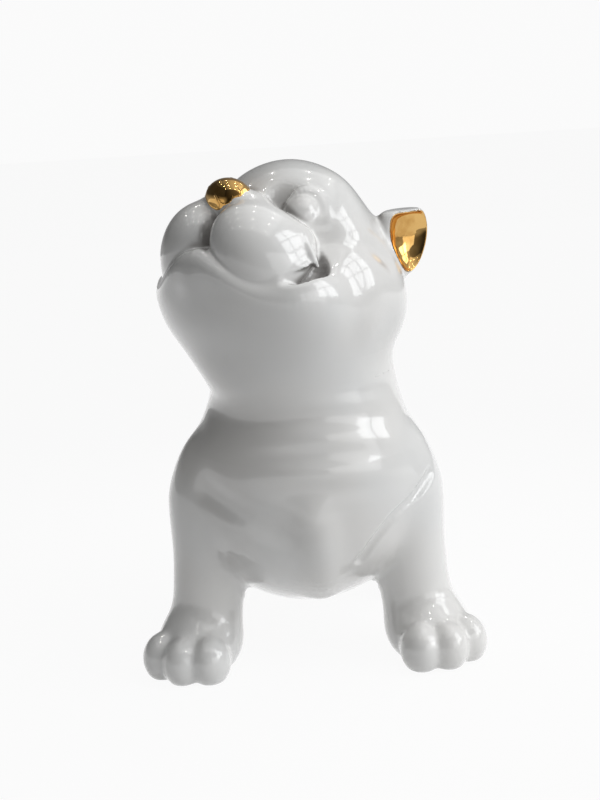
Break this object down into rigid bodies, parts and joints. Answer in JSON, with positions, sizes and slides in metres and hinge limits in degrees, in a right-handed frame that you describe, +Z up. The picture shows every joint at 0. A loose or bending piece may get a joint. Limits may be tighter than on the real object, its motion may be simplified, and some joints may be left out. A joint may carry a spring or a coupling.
{
  "type": "porcelain puppy figurine",
  "caption": "Glossy white glazed porcelain puppy standing on splayed paws, head turned and lifted, with gold nose and gold inner ears; a free-standing ornament.",
  "frame": {"origin": "on the ground under the middle of the figure's box", "axes": "+Z up, -Y the way the dog's chest faces, +X the dog's left"},
  "size_m": [0.128, 0.1574, 0.1857],
  "materials": {
    "white_glaze": "high gloss",
    "gold_lustre": "bright fired gold lustre"
  },
  "bodies": {
    "root": {"torso_shell": "white_glaze", "head_shell": "white_glaze", "front_left_leg": "white_glaze", "front_right_leg": "white_glaze", "hind_left_leg": "white_glaze", "hind_right_leg": "white_glaze", "left_ear": "white_glaze", "right_ear": "white_glaze", "tail": "white_glaze", "nose_gilding": "gold_lustre", "left_ear_gilding": "gold_lustre", "right_ear_gilding": "gold_lustre"}
  },
  "joints": []
}
